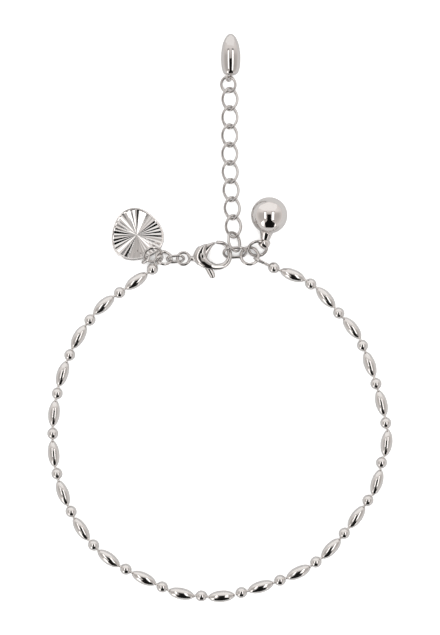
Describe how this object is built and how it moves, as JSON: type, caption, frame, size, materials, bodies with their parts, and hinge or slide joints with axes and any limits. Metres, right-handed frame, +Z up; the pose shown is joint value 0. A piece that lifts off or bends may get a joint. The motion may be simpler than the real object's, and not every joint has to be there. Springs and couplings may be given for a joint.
{
  "type": "payal anklet with clasp, extender chain, disc charm and bell charm",
  "caption": "Beaded anklet lying flat, with a lobster clasp, an extender chain that ends in a drop, a sunburst disc charm and a bell charm.",
  "frame": {"origin": "centre of the anklet's outline on the surface that it lies on", "axes": "+Y towards the end of the extender chain, +Z up from the surface, +X from the disc charm towards the bell charm"},
  "size_m": [0.0777, 0.1279, 0.0081],
  "materials": {
    "silver": "mirror-polished silver plating"
  },
  "bodies": {
    "anklet": {"bead_string_left": "silver", "bead_string_right": "silver", "clasp_body": "silver", "clasp_pin": "silver", "clasp_link": "silver", "string_ring": "silver", "disc_charm": "silver", "disc_ring": "silver", "end_ring": "silver", "hook_link": "silver", "bell_charm": "silver", "bell_ring": "silver", "extender_ring": "silver", "extender_link_1": "silver", "extender_link_2": "silver", "extender_link_3": "silver", "extender_link_4": "silver", "extender_link_5": "silver", "extender_link_6": "silver", "extender_link_7": "silver", "extender_link_8": "silver", "drop_ring": "silver", "drop_charm": "silver"},
    "lever": {"clasp_lever": "silver"}
  },
  "joints": [
    {"name": "clasp_lever_hinge", "type": "hinge", "parent": "anklet", "child": "lever", "pos_m": [-0.00394, 0.01395, 0.0015], "axis": [0, 0, -1], "range_deg": [0, 25], "stiffness_Nm_per_rad": 0.003, "springref_deg": -11.46}
  ]
}
